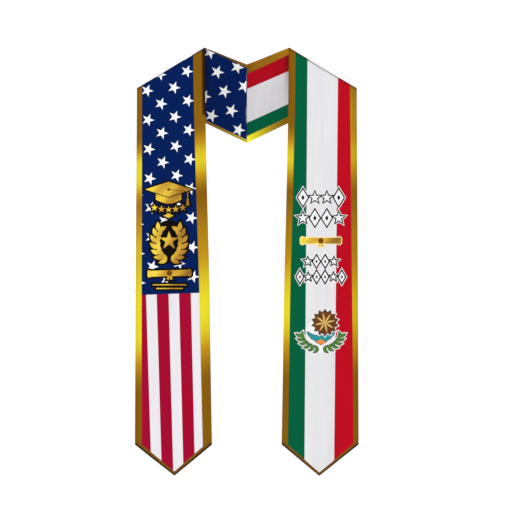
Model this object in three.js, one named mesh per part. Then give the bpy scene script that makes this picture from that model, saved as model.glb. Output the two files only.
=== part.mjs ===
// A graduation stole in the form in which it is worn: two satin panels that hang in front, each sewn
// in the shoulder fold, just in front of its crest, to a neck strip, and the two strips meet in a
// mitre seam at the back of the neck. A gold trim runs along every edge.
// Millimetres. X to the viewer's right, Z up, and the front faces -Y. The origin is at the top of
// the centre back seam, on the side that lies against the neck.
import * as THREE from 'three';

const { clamp, lerp, smoothstep } = THREE.MathUtils;

// The shoulders and the neck. The peak is the highest point of the fold, beside the neck.
const NECK_HALF_WIDTH = 78; // from the centre to a peak
const PEAK_RISE = 28.5; // of the peak above the origin
const NECK_DEPTH = 50; // from the fold back to the centre seam
const SHOULDER_WIDTH = 126.5; // of the band, level, at the fold
const FOLD_DROP = 76; // from the peak to the fold's outer corner
const FOLD_RADIUS = 5; // of the roll of cloth over the shoulder, at mid cloth
const FOLD_SEAM = 0.36; // of the turn round the fold, from the front to where panel and strip meet
const SEAM_LENGTH = 147; // of the mitre seam at the centre back
const STRIP_SAG = 0.008; // of the neck strip's lower edge between fold and seam, of SEAM_LENGTH

// The front panels.
const PANEL_DROP = 738; // from the peak to the corners of the tail
const TAIL_POINT = 58; // of the tail's tip below its corners
const TIP_SHARE = 0.491; // of the tail's width, from the neck side to the tip
const INNER_FLARE = 13.5; // that the neck side widens by at the tail
const OUTER_FLARE = 3.4; // that the outer side widens by at the tail
const CHEST_BOW = 7; // that the panels stand forward of the fold, at most
const RIPPLE = 3; // of the soft lengthwise waves at the tail
const RIPPLE_WAVES = 1.3; // across the panel
const EARLY_SWING = 0.75; // under 1, the neck strip swings back nearer the fold than the seam

// The cloth.
const SATIN_CLOTH = 1.6; // two layers of satin and the print
const TRIM_CLOTH = 2;
const TAIL_TRIM = { corner: 8, tip: 5.2 }; // widths, square to the edge
const PIECE_GAP = 0.3; // left between a trim and its satin, and at the seams
const SATIN = { roughness: 0.55, metalness: 0 };
const GOLD_SATIN = { roughness: 0.42, metalness: 0.35 };
const BORDER_GOLD = '#b07d14';
const TAIL_GOLD = '#7d5608';

// How a panel hangs, from the fold (0) to the corners of the tail (1). Forward is a share of
// CHEST_BOW, inner of INNER_FLARE, outer of OUTER_FLARE and wave of RIPPLE.
const HANG = [
  { down: 0, forward: 0, inner: 0, outer: 0, wave: 0 },
  { down: 0.15, forward: 0.4, inner: 0.08, outer: 0.12, wave: 0.1 },
  { down: 0.38, forward: 1, inner: 0.34, outer: 0.36, wave: 0.35 },
  { down: 0.6, forward: 0.95, inner: 0.64, outer: 0.62, wave: 0.6 },
  { down: 0.82, forward: 0.65, inner: 0.82, outer: 0.84, wave: 0.85 },
  { down: 1.1, forward: 0.45, inner: 1.08, outer: 1.08, wave: 1.1 },
];

// Each side of the stole. Phase shifts the waves across the panel.
const SIDES = {
  left: { sign: -1, phase: 0.12, panelCloth: '#14316e', stripCloth: '#14316e' },
  right: { sign: 1, phase: 0.55, panelCloth: '#e2e2e4', stripCloth: '#d4d2d4' },
};

// The widths of the trims: the panel's along its two long edges, and the neck strip's along its
// upper (neck) and lower (nape) edges, where it leaves the fold and at the centre seam.
const TRIMS = {
  left: { outer: 11.5, inner: 17, neck: { fold: 1.6, seam: 6 }, nape: { fold: 5.2, seam: 5.6 } },
  right: { outer: 11.5, inner: 11, neck: { fold: 12.4, seam: 15.7 }, nape: { fold: 10.5, seam: 11.6 } },
};

// Rows of facets down a panel, round its part of the fold, round the neck strip's part and along
// the strip, and columns.
const ROWS = { panel: 24, panelFold: 5, stripFold: 8, strip: 14 };
const COLUMNS = { satin: 8, trim: 1 };

const FOLD_ANGLE = Math.atan2(FOLD_DROP, SHOULDER_WIDTH);
const FOLD_REACH = FOLD_RADIUS / Math.cos(FOLD_ANGLE); // of the roll below the fold's crest
const CREST_Y = -NECK_DEPTH;
const SEAM_Y = TRIM_CLOTH / 2; // puts the inner face of the seam at the origin
const CORNER_Z = PEAK_RISE - PANEL_DROP;
const TAIL_SLOPE = Math.atan2(
  TAIL_POINT,
  (SHOULDER_WIDTH + INNER_FLARE + OUTER_FLARE) * TIP_SHARE,
);
const TAIL_GAP_RISE = PIECE_GAP / Math.cos(TAIL_SLOPE);
const STRIP_SLOPE = Math.atan2(
  2 * PEAK_RISE + SEAM_LENGTH - FOLD_DROP,
  2 * NECK_HALF_WIDTH + SHOULDER_WIDTH,
); // of the neck strip, the mean of its two edges
const SEAM_WIDTH = SEAM_LENGTH * Math.cos(STRIP_SLOPE);
const SEAM_GAP_TURN = PIECE_GAP / 2 / (Math.PI * FOLD_RADIUS); // half the gap at the fold's seam
const TANGENT_STEP = 1e-4; // across and along a surface, to find its normal

// A smooth curve through one column of HANG, level where the cloth leaves the fold.
function hangCurve(column) {
  const curve = new THREE.CubicInterpolant(
    HANG.map((row) => row.down),
    HANG.map((row) => row[column]),
    1,
  );
  curve.settings = { endingStart: THREE.ZeroSlopeEnding, endingEnd: THREE.ZeroCurvatureEnding };
  return (down) => curve.evaluate(clamp(down, 0, HANG.at(-1).down))[0];
}

const forwardShare = hangCurve('forward');
const innerShare = hangCurve('inner');
const outerShare = hangCurve('outer');
const waveShare = hangCurve('wave');

// Across runs from the neck side (0) to the outer side (1) of the cloth, in front and behind.
function crestPoint(across) {
  return new THREE.Vector3(
    NECK_HALF_WIDTH + SHOULDER_WIDTH * across,
    CREST_Y,
    PEAK_RISE - FOLD_DROP * across,
  );
}

function seamPoint(across) {
  return new THREE.Vector3(PIECE_GAP / 2, SEAM_Y, -SEAM_LENGTH * across);
}

// The direction in which the neck strip leaves the fold, seen from the front.
function stripDirection(across) {
  return seamPoint(across).sub(crestPoint(across)).setY(0).normalize();
}

// Round the fold, turn runs from the front (0) over the crest (0.5) to the back (1).
function foldPoint(across, turn) {
  const angle = Math.PI * turn;
  const below = FOLD_REACH * (1 - Math.sin(angle));
  const way = turn < 0.5 ? new THREE.Vector3(0, 0, -1) : stripDirection(across);
  const point = crestPoint(across).addScaledVector(way, below);
  point.y -= FOLD_RADIUS * Math.cos(angle);
  return point;
}

// How far across a place is on its way from a corner of the tail (0) to the tip (1).
function towardsTip(across) {
  return across < TIP_SHARE ? across / TIP_SHARE : (1 - across) / (1 - TIP_SHARE);
}

function tailEdgeZ(across) {
  return CORNER_Z - TAIL_POINT * towardsTip(across);
}

function tailTrimRise(across) {
  return lerp(TAIL_TRIM.corner, TAIL_TRIM.tip, towardsTip(across)) / Math.cos(TAIL_SLOPE);
}

// A point on the middle of the cloth below the fold, at the height z.
function hangingPoint(side, across, z) {
  const top = foldPoint(across, 0).z;
  const down = (top - z) / (top - CORNER_Z);
  const inner = NECK_HALF_WIDTH - INNER_FLARE * innerShare(down);
  const outer = NECK_HALF_WIDTH + SHOULDER_WIDTH + OUTER_FLARE * outerShare(down);
  const wave = Math.sin(2 * Math.PI * (RIPPLE_WAVES * across + side.phase));
  return new THREE.Vector3(
    lerp(inner, outer, across),
    CREST_Y - FOLD_RADIUS - CHEST_BOW * forwardShare(down) - RIPPLE * waveShare(down) * wave,
    z,
  );
}

// The front panel. Along runs from above the tail trim (0) to the fold (1) and up to its seam (2).
function panelPoint(side, across, along) {
  if (along >= 1) return foldPoint(across, (along - 1) * (FOLD_SEAM - SEAM_GAP_TURN));
  const low = tailEdgeZ(across) + tailTrimRise(across) + TAIL_GAP_RISE;
  return hangingPoint(side, across, lerp(low, foldPoint(across, 0).z, along));
}

// The tail trim, from the V of the tail (0) to the trim's upper edge (1).
function tailTrimPoint(side, across, along) {
  return hangingPoint(side, across, tailEdgeZ(across) + tailTrimRise(across) * along);
}

// The neck strip. Along runs from the fold's seam (0) over the crest and down behind it (1), then
// back round the neck to the centre seam (2), where the strip is level.
function stripPoint(side, across, along) {
  if (along < 1) return foldPoint(across, lerp(FOLD_SEAM + SEAM_GAP_TURN, 1, along));
  const toSeam = along - 1;
  const start = foldPoint(across, 1);
  const point = start.clone().lerp(seamPoint(across), toSeam);
  point.y = lerp(start.y, SEAM_Y, smoothstep(toSeam ** EARLY_SWING, 0, 1));
  point.z -= SEAM_LENGTH * STRIP_SAG * across * Math.sin(Math.PI * clamp(toSeam, 0, 1));
  return point;
}

// Widths of the cloth, and of a neck strip's trim, at one place along it.
function panelWidth(along) {
  const down = Math.max(0, 1 - along);
  return SHOULDER_WIDTH + INNER_FLARE * innerShare(down) + OUTER_FLARE * outerShare(down);
}

function stripWidth(along) {
  return lerp(SHOULDER_WIDTH, SEAM_WIDTH, clamp(along - 1, 0, 1));
}

function stripTrimWidth(trim, along) {
  return lerp(trim.fold, trim.seam, clamp(along - 1, 0, 1));
}

// Rows are spaced evenly in each of a surface's two stretches, which have these many rows.
function twoStretches(firstRows, secondRows) {
  return {
    rows: firstRows + secondRows,
    alongAt: (row) => (row < firstRows ? row / firstRows : 1 + (row - firstRows) / secondRows),
  };
}

const PANEL_RUN = twoStretches(ROWS.panel, ROWS.panelFold);
const STRIP_RUN = twoStretches(ROWS.stripFold, ROWS.strip);
const TAIL_RUN = { rows: 1, alongAt: (row) => row };

// Gives a sheet its wall: each corner of a divided box is set on the surface and lifted off it
// along the surface's normal. The box is turned round on the left, so that its faces point out.
function clothGeometry(side, surface, run, edges, thickness, columns) {
  const box = new THREE.BoxGeometry(1, 1, 1, columns, run.rows, 1);
  const corners = box.attributes.position;
  for (let i = 0; i < corners.count; i += 1) {
    const u = side.sign > 0 ? corners.getX(i) + 0.5 : 0.5 - corners.getX(i);
    const along = run.alongAt(Math.round((corners.getY(i) + 0.5) * run.rows));
    const { low, middle, high } = edges(along);
    const across = u < 0.5 ? lerp(low, middle, 2 * u) : lerp(middle, high, 2 * u - 1);
    const at = (a, b) => surface(side, a, b);
    const acrossTangent = at(across + TANGENT_STEP, along).sub(at(across - TANGENT_STEP, along));
    const alongTangent = at(across, along + TANGENT_STEP).sub(at(across, along - TANGENT_STEP));
    const normal = acrossTangent.cross(alongTangent).normalize();
    const point = at(across, along).addScaledVector(normal, corners.getZ(i) * thickness);
    corners.setXYZ(i, point.x * side.sign, point.y, point.z);
  }
  box.computeVertexNormals();
  return box;
}

// The satin lies between two trims, with a gap to each.
function betweenTrims(lowTrim, highTrim, width, middle) {
  return (along) => ({
    low: (lowTrim(along) + PIECE_GAP) / width(along),
    middle,
    high: 1 - (highTrim(along) + PIECE_GAP) / width(along),
  });
}

function lowEdge(trim, width) {
  return (along) => {
    const high = trim(along) / width(along);
    return { low: 0, middle: high / 2, high };
  };
}

function highEdge(trim, width) {
  return (along) => {
    const low = 1 - trim(along) / width(along);
    return { low, middle: (low + 1) / 2, high: 1 };
  };
}

function clothMesh(name, geometry, color, finish) {
  const mesh = new THREE.Mesh(geometry, new THREE.MeshStandardMaterial({ color, ...finish }));
  mesh.name = name;
  return mesh;
}

function makePanel(where, side, trims) {
  const inner = () => trims.inner;
  const outer = () => trims.outer;
  const satin = betweenTrims(inner, outer, panelWidth, TIP_SHARE);
  const sheet = (edges, thickness, columns) =>
    clothGeometry(side, panelPoint, PANEL_RUN, edges, thickness, columns);
  return [
    clothMesh(`${where}_panel`, sheet(satin, SATIN_CLOTH, COLUMNS.satin), side.panelCloth, SATIN),
    clothMesh(
      `${where}_outer_trim`,
      sheet(highEdge(outer, panelWidth), TRIM_CLOTH, COLUMNS.trim),
      BORDER_GOLD,
      GOLD_SATIN,
    ),
    clothMesh(
      `${where}_inner_trim`,
      sheet(lowEdge(inner, panelWidth), TRIM_CLOTH, COLUMNS.trim),
      BORDER_GOLD,
      GOLD_SATIN,
    ),
  ];
}

function makeTailTrim(where, side) {
  const wholeWidth = () => ({ low: 0, middle: TIP_SHARE, high: 1 });
  const geometry = clothGeometry(side, tailTrimPoint, TAIL_RUN, wholeWidth, TRIM_CLOTH, COLUMNS.satin);
  return clothMesh(`${where}_tail_trim`, geometry, TAIL_GOLD, GOLD_SATIN);
}

function makeNeckStrip(where, side, trims) {
  const neck = (along) => stripTrimWidth(trims.neck, along);
  const nape = (along) => stripTrimWidth(trims.nape, along);
  const satin = betweenTrims(neck, nape, stripWidth, 0.5);
  const sheet = (edges, thickness, columns) =>
    clothGeometry(side, stripPoint, STRIP_RUN, edges, thickness, columns);
  return [
    clothMesh(`${where}_neck_strip`, sheet(satin, SATIN_CLOTH, COLUMNS.satin), side.stripCloth, SATIN),
    clothMesh(
      `${where}_neck_trim`,
      sheet(lowEdge(neck, stripWidth), TRIM_CLOTH, COLUMNS.trim),
      BORDER_GOLD,
      GOLD_SATIN,
    ),
    clothMesh(
      `${where}_nape_trim`,
      sheet(highEdge(nape, stripWidth), TRIM_CLOTH, COLUMNS.trim),
      BORDER_GOLD,
      GOLD_SATIN,
    ),
  ];
}

const stole = new THREE.Group();
for (const [where, side] of Object.entries(SIDES)) {
  const half = new THREE.Group();
  half.add(...makePanel(where, side, TRIMS[where]));
  half.add(makeTailTrim(where, side));
  half.add(...makeNeckStrip(where, side, TRIMS[where]));
  stole.add(half);
}

export default stole;
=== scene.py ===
import math
import bpy
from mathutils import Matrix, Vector, noise


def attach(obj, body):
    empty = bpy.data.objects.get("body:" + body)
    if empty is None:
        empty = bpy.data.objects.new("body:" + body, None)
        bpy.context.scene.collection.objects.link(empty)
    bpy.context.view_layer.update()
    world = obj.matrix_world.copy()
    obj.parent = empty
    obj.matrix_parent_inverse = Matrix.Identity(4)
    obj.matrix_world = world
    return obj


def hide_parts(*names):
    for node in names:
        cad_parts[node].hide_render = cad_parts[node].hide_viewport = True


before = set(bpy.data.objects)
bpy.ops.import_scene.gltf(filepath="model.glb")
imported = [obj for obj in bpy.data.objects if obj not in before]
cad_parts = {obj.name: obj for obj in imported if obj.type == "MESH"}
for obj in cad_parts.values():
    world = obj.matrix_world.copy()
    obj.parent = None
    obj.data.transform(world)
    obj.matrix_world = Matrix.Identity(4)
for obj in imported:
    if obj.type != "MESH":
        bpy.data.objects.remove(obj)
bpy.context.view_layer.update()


# The camera stands 8 m in front of the stole with a long lens, level with the middle of the
# photograph, so that the panels hang before it almost without perspective.
CAMERA_PLACE = (0.0245, -8.0, -0.3664)
CAMERA_LENS = 295.8
CAMERA_SENSOR = 36

bpy.ops.object.camera_add(location=CAMERA_PLACE, rotation=(math.pi / 2, 0, 0))
camera = bpy.context.object
camera.data.lens = CAMERA_LENS
camera.data.sensor_width = CAMERA_SENSOR
bpy.context.scene.camera = camera


# The studio is a white room: a plain pale floor under the hanging stole, white light from all
# round, and one large soft lamp high on the left that brings out the ripples of the satin.
FLOOR_SIZE = 40
FLOOR_Z = -1.3
FLOOR_FINISH = {
    "Base Color": (0.95, 0.95, 0.95, 1),
    "Roughness": 0.9,
    "Specular IOR Level": 0.1,
}
ROOM_LIGHT = 1.09
LAMP_PLACE = (-3.2, -2.6, 1.6)
LAMP_AIM = (0, 0, -0.35)
LAMP_SIZE = 1.6
LAMP_POWER = 40

bpy.ops.mesh.primitive_plane_add(size=FLOOR_SIZE, location=(0, 0, FLOOR_Z))
floor = bpy.context.object
floor.name = "studio_floor"
floor_paint = bpy.data.materials.new("pale_floor")
floor_paint.use_nodes = True
for socket, value in FLOOR_FINISH.items():
    floor_paint.node_tree.nodes["Principled BSDF"].inputs[socket].default_value = value
floor.data.materials.append(floor_paint)

room = bpy.data.worlds.new("white_room")
room.use_nodes = True
room.node_tree.nodes["Background"].inputs["Color"].default_value = (1, 1, 1, 1)
room.node_tree.nodes["Background"].inputs["Strength"].default_value = ROOM_LIGHT
bpy.context.scene.world = room
bpy.context.scene.view_settings.view_transform = "Standard"

bpy.ops.object.light_add(type="AREA", location=LAMP_PLACE)
lamp = bpy.context.object
lamp.data.size = LAMP_SIZE
lamp.data.energy = LAMP_POWER
lamp.rotation_euler = (Vector(LAMP_AIM) - Vector(LAMP_PLACE)).to_track_quat("-Z", "Y").to_euler()
lamp.visible_camera = False


# The two front panels are long bands of polyester satin, printed on both faces and sewn double.
# They hang from the shoulder folds to their V-shaped tails, flare a little on the way down and
# bow forward over the chest, with soft lengthwise ripples and small puckers along the stitches.
NECK_HALF_WIDTH = 0.078
PEAK_RISE = 0.0285
NECK_DEPTH = 0.05
SHOULDER_WIDTH = 0.1265
FOLD_DROP = 0.076
FOLD_RADIUS = 0.005
FOLD_SEAM = 0.36
PANEL_DROP = 0.738
TAIL_POINT = 0.058
TIP_SHARE = 0.491
INNER_FLARE = 0.0135
OUTER_FLARE = 0.0034
CHEST_BOW = 0.007
WAVE_DEPTH = 0.003
WAVES_ACROSS = 1.3
SATIN_CLOTH = {"thickness": 0.0016, "rounding": 0.0005, "columns": 44}
TUCK = 0.0014  # of the satin under the edge of a trim
# How far down the panel a row is, from the fold (0) to the corners of the tail (1), and how much
# of the bow, of the flare at its two edges and of the waves across it has come by then.
HANG = {
    "down": (0, 0.15, 0.38, 0.6, 0.82, 1.1),
    "forward": (0, 0.4, 1, 0.95, 0.65, 0.45),
    "inner": (0, 0.08, 0.34, 0.64, 0.82, 1.08),
    "outer": (0, 0.12, 0.36, 0.62, 0.84, 1.08),
    "wave": (0, 0.1, 0.35, 0.6, 0.85, 1.1),
}
# The widths of the two long trims are given at the fold and at the tail, and those of the tail's
# trim at its corners and at the tip.
SIDES = {
    "left": {
        "sign": -1,
        "phase": 0.12,
        "slot": "starred_satin",
        "inner": (0.0218, 0.0173),
        "outer": (0.0098, 0.0129),
        "tail": (0.0092, 0.0064),
    },
    "right": {
        "sign": 1,
        "phase": 0.55,
        "slot": "tricolour_satin",
        "inner": (0.0124, 0.0116),
        "outer": (0.0129, 0.0095),
        "tail": (0.008, 0.0052),
    },
}
RIPPLES = [
    {"across": 0.03, "along": 0.2, "depth": 0.0016},
    {"across": 0.012, "along": 0.07, "depth": 0.00022},
]
RIPPLE_SEED = 20  # times a side's phase, so that the two sides differ
LOOSENING = 6  # the cloth is loose from a sixth of the way down
PUCKER = {"length": 0.012, "across": 3, "depth": 0.00025, "reach": 0.012}
PANEL_ROWS = 300
PANEL_FOLD_ROWS = 8
ROUNDED_ABOVE = math.radians(60)
SMOOTH_BELOW = math.radians(50)

FOLD_ANGLE = math.atan2(FOLD_DROP, SHOULDER_WIDTH)
FOLD_REACH = FOLD_RADIUS / math.cos(FOLD_ANGLE)
CORNER_Z = PEAK_RISE - PANEL_DROP
TAIL_SLOPE = math.atan2(TAIL_POINT, (SHOULDER_WIDTH + INNER_FLARE + OUTER_FLARE) * TIP_SHARE)
TAIL_TUCK_RISE = TUCK / math.cos(TAIL_SLOPE)


def mix(start, end, share):
    return start + (end - start) * share


def smooth_step(share):
    share = min(max(share, 0), 1)
    return share * share * (3 - 2 * share)


def hang_curve(column):
    """A smooth curve through one column of HANG, level where the cloth leaves the fold."""
    downs, shares = HANG["down"], HANG[column]
    last = len(downs) - 1
    secants = [(shares[i + 1] - shares[i]) / (downs[i + 1] - downs[i]) for i in range(last)]
    slopes = [0] + [(low + high) / 2 for low, high in zip(secants, secants[1:])] + [secants[-1]]

    def share_at(down):
        down = min(max(down, 0), downs[-1])
        i = max(row for row in range(last) if downs[row] <= down)
        span = downs[i + 1] - downs[i]
        t = (down - downs[i]) / span
        ends = shares[i] * (1 + 2 * t) * (1 - t) ** 2 + shares[i + 1] * t * t * (3 - 2 * t)
        return ends + span * t * (1 - t) * (slopes[i] * (1 - t) - slopes[i + 1] * t)

    return share_at


forward_share = hang_curve("forward")
inner_share = hang_curve("inner")
outer_share = hang_curve("outer")
wave_share = hang_curve("wave")


def crest_point(across):
    return Vector(
        (NECK_HALF_WIDTH + SHOULDER_WIDTH * across, -NECK_DEPTH, PEAK_RISE - FOLD_DROP * across)
    )


def fold_point(across, turn, way):
    """Round the fold, from the front (0) over the crest (0.5) to the back (1)."""
    angle = math.pi * turn
    point = crest_point(across) + way * (FOLD_REACH * (1 - math.sin(angle)))
    point.y -= FOLD_RADIUS * math.cos(angle)
    return point


def fold_foot(across):
    """Where the panel leaves the fold and starts to hang."""
    return crest_point(across).z - FOLD_REACH


def width_at(down):
    return SHOULDER_WIDTH + INNER_FLARE * inner_share(down) + OUTER_FLARE * outer_share(down)


def binding_width(side, edge, down):
    fold, tail = side[edge]
    return mix(fold, tail, min(max(down, 0), 1))


def towards_tip(across):
    return across / TIP_SHARE if across < TIP_SHARE else (1 - across) / (1 - TIP_SHARE)


def tail_edge(across):
    return CORNER_Z - TAIL_POINT * towards_tip(across)


def tail_trim_rise(side, across):
    corner, tip = side["tail"]
    return mix(corner, tip, towards_tip(across)) / math.cos(TAIL_SLOPE)


def ripple(x, z, seed):
    """How far the satin stands out of its smooth surface, at a place seen from the front."""
    out = 0
    for wave in RIPPLES:
        out += wave["depth"] * noise.noise(Vector((x / wave["across"], z / wave["along"], seed)))
    return out


def pucker(side, across, down, z):
    """The small gathers that the stitches along the two long trims draw into the cloth."""
    width = width_at(down)
    to_inner = abs(across * width - binding_width(side, "inner", down))
    to_outer = abs((1 - across) * width - binding_width(side, "outer", down))
    near = math.exp(-((min(to_inner, to_outer) / PUCKER["reach"]) ** 2))
    spot = Vector((z / PUCKER["length"], across * PUCKER["across"], side["phase"]))
    return PUCKER["depth"] * near * noise.noise(spot)


def panel_borders(down):
    """How far the panel's inner and outer edges are from the middle of the stole."""
    inner = NECK_HALF_WIDTH - INNER_FLARE * inner_share(down)
    outer = NECK_HALF_WIDTH + SHOULDER_WIDTH + OUTER_FLARE * outer_share(down)
    return inner, outer


def down_share(across, z):
    top = fold_foot(across)
    return (top - z) / (top - CORNER_Z)


def hanging_point(side, across, z):
    """A point on the middle of the cloth below the fold, on the right or mirrored to the left."""
    down = down_share(across, z)
    x = mix(*panel_borders(down), across)
    wave = math.sin(2 * math.pi * (WAVES_ACROSS * across + side["phase"]))
    y = -NECK_DEPTH - FOLD_RADIUS - CHEST_BOW * forward_share(down)
    y -= WAVE_DEPTH * wave_share(down) * wave
    loose = smooth_step(down * LOOSENING)
    y -= loose * (ripple(x, z, side["phase"] * RIPPLE_SEED) + pucker(side, across, down, z))
    return Vector((x, y, z))


def panel_point(side, across, along):
    """Along runs from above the tail trim (0) to the fold (1) and up to its seam (2)."""
    if along >= 1:
        return fold_point(across, (along - 1) * FOLD_SEAM, Vector((0, 0, -1)))
    low = tail_edge(across) + tail_trim_rise(side, across) - TAIL_TUCK_RISE
    return hanging_point(side, across, mix(low, fold_foot(across), along))


def two_stretches(first_rows, second_rows):
    """Rows that are spaced evenly in each of a surface's two stretches."""
    rows = first_rows + second_rows

    def along_at(share):
        row = share * rows
        return row / first_rows if row < first_rows else 1 + (row - first_rows) / second_rows

    return {"rows": rows, "along_at": along_at}


def lay_cloth(name, where, node, cut, cloth, edges):
    """Lays a divided sheet on a cut's surface and gives it its wall, its rounded edges and two UV
    maps: Print, where the print reads its place in metres, and Run, the shares across and along.
    It stands for a node of the CAD."""
    side = SIDES[where]
    rows = cut["run"]["rows"]
    bpy.ops.object.select_all(action="DESELECT")
    bpy.ops.mesh.primitive_grid_add(x_subdivisions=cloth["columns"], y_subdivisions=rows, size=1)
    piece = bpy.context.object
    piece.name = name
    piece.data.name = name
    print_uvs, run_uvs = [], []
    for vertex in piece.data.vertices:
        u = vertex.co.x + 0.5
        along = cut["run"]["along_at"](vertex.co.y + 0.5)
        low, middle, high = edges(along)
        across = mix(low, middle, 2 * u) if u < 0.5 else mix(middle, high, 2 * u - 1)
        point = cut["surface"](side, across, along)
        point.x *= side["sign"]
        vertex.co = point
        print_uvs.append(cut["print"](point))
        run_uvs.append((across, along))
    for map_name, uvs in (("Print", print_uvs), ("Run", run_uvs)):
        layer = piece.data.uv_layers.new(name=map_name)
        for loop in piece.data.loops:
            layer.data[loop.index].uv = uvs[loop.vertex_index]
    piece.data.uv_layers.remove(piece.data.uv_layers[0])
    if side["sign"] < 0:
        piece.data.flip_normals()
    wall = piece.modifiers.new("wall", "SOLIDIFY")
    wall.thickness = cloth["thickness"]
    wall.offset = 0
    rounded = piece.modifiers.new("rounded", "BEVEL")
    rounded.width = cloth["rounding"]
    rounded.segments = 2
    rounded.limit_method = "ANGLE"
    rounded.angle_limit = ROUNDED_ABOVE
    bpy.ops.object.modifier_apply(modifier="wall")
    bpy.ops.object.modifier_apply(modifier="rounded")
    bpy.ops.object.shade_smooth_by_angle(angle=SMOOTH_BELOW)
    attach(piece, "root")
    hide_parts(node)
    return piece


def seen_from_front(point):
    return point.x, point.z


def panel_share(where, edge, along, tuck=0):
    """How much of the panel's width a long trim covers, less a tuck."""
    down = max(0, 1 - along)
    return (binding_width(SIDES[where], edge, down) - tuck) / width_at(down)


def lay_satins(part, cut):
    """The satin of both sides, tucked a little under the two trims that run along it."""
    satins = {}
    for where in SIDES:

        def edges(along):
            low, high = (cut["share"](where, edge, along, TUCK) for edge in cut["trims"])
            return low, cut["middle"], 1 - high

        node = f"{where}_{part}"
        satins[where] = lay_cloth(f"{node}_satin", where, node, cut, SATIN_CLOTH, edges)
    return satins


PANEL_CUT = {
    "surface": panel_point,
    "run": two_stretches(PANEL_ROWS, PANEL_FOLD_ROWS),
    "print": seen_from_front,
    "trims": ("inner", "outer"),
    "share": panel_share,
    "middle": TIP_SHARE,
}
panels = lay_satins("panel", PANEL_CUT)


# The prints are dyed into the satin: on the left white stars on navy over red and white stripes,
# on the right three lengthwise stripes of green, white and red. The threads of the satin lie
# along the bands and give a fine grain and a soft sheen.


def dye(red, green, blue):
    """A colour of the print, from its screen values."""
    linear = [
        value / 255 / 12.92 if value <= 10 else ((value / 255 + 0.055) / 1.055) ** 2.4
        for value in (red, green, blue)
    ]
    return (*linear, 1)


class Field:
    """A number that varies over a surface. Maths on it adds Math nodes."""

    def __init__(self, paint, socket):
        self.paint = paint
        self.socket = socket

    def maths(self, operation, *others):
        sockets = dict(enumerate((self, *others)))
        return self.paint.node("ShaderNodeMath", {"operation": operation}, sockets)

    def __add__(self, other):
        return self.maths("ADD", other)

    __radd__ = __add__

    def __sub__(self, other):
        return self.maths("SUBTRACT", other)

    def __rsub__(self, other):
        return self.paint.node("ShaderNodeMath", {"operation": "SUBTRACT"}, {0: other, 1: self})

    def __mul__(self, other):
        return self.maths("MULTIPLY", other)

    __rmul__ = __mul__

    def __truediv__(self, other):
        return self.maths("DIVIDE", other)

    def __abs__(self):
        return self.maths("ABSOLUTE")

    def clamped(self):
        """The number, from 0 up and from 1 down."""
        return self.maths("MAXIMUM", 0).maths("MINIMUM", 1)

    def over(self, softness):
        """1 where the number is above 0 and 0 where it is below, with a soft edge."""
        limits = {"Value": self, "From Min": -softness, "From Max": softness}
        return self.paint.node("ShaderNodeMapRange", {"interpolation_type": "SMOOTHSTEP"}, limits)


class Paint:
    """One material, and the one method that adds a node to it."""

    def __init__(self, name, constants):
        self.material = bpy.data.materials.new(name)
        self.material.use_nodes = True
        self.tree = self.material.node_tree
        self.shader = self.tree.nodes["Principled BSDF"]
        for socket, value in constants.items():
            self.shader.inputs[socket].default_value = value

    def node(self, kind, settings, sockets, output=0):
        made = self.tree.nodes.new(kind)
        for name, value in settings.items():
            if name == "stops":
                while len(made.color_ramp.elements) < len(value):
                    made.color_ramp.elements.new(1)
                for element, (position, colour) in zip(made.color_ramp.elements, value):
                    element.position = position
                    element.color = colour
            else:
                setattr(made, name, value)
        for socket, value in sockets.items():
            self.feed(made.inputs[socket], value)
        return Field(self, made.outputs[output])

    def feed(self, socket, value):
        if isinstance(value, Field):
            self.tree.links.new(value.socket, socket)
        else:
            socket.default_value = value

    def blend(self, share, low, high):
        return self.node("ShaderNodeMix", {"data_type": "RGBA"}, {0: share, 6: low, 7: high}, 2)

    def numbers(self, vector, *axes):
        return [self.node("ShaderNodeSeparateXYZ", {}, {"Vector": vector}, axis) for axis in axes]

    def place(self, map_name):
        """The two numbers of a UV map."""
        return self.numbers(self.node("ShaderNodeUVMap", {"uv_map": map_name}, {}), 0, 1)

    def spot(self):
        """The place in the object itself, in metres along X and Z."""
        return self.numbers(self.node("ShaderNodeTexCoord", {}, {}, "Object"), 0, 2)

    def grain(self, scale, stretch, detail=2):
        """Noise from 0 to 1 over the object, drawn out by stretch along X, Y and Z."""
        where = self.node("ShaderNodeTexCoord", {}, {}, "Object")
        drawn = self.node("ShaderNodeMapping", {}, {"Vector": where, "Scale": stretch})
        return self.node("ShaderNodeTexNoise", {}, {"Vector": drawn, "Scale": scale, "Detail": detail})

    def finish(self, colour, roughness, height, depth):
        self.feed(self.shader.inputs["Base Color"], colour)
        self.feed(self.shader.inputs["Roughness"], roughness)
        relief = {"Height": height, "Distance": depth}
        self.feed(self.shader.inputs["Normal"], self.node("ShaderNodeBump", {}, relief))
        return self.material


NAVY = dye(0, 27, 82)
STAR_WHITE = dye(240, 240, 243)
STRIPE_WHITE = dye(218, 216, 220)
STRIPE_RED = dye(154, 6, 44)
FLAG_GREEN = dye(0, 88, 56)
FLAG_WHITE = dye(213, 212, 214)
FLAG_RED = dye(176, 8, 28)
POINT_ANGLE = math.radians(36)  # from a tip of a five-pointed star to its next notch
STAR_WAIST = math.cos(2 * POINT_ANGLE) / math.cos(POINT_ANGLE)
PRINT_EDGE = 0.00025
SATIN = {"Specular IOR Level": 0.03}
# The satin's colour varies with a random mottle and with painted sheen and shade in lengthwise
# streaks.
SATIN_GREY = {"rest": 0.89, "mottle": 0.09, "streaks": 0.13}
SATIN_ROUGHNESS = {"rest": 0.42, "mottle": 0.12, "threads": 0.1}
THREADS = {"scale": 2600, "stretch": (1, 1, 0.06)}
THREAD_DEPTH = 0.00006
MOTTLE = {"scale": 60, "stretch": (1, 1, 0.12), "detail": 3}
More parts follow.
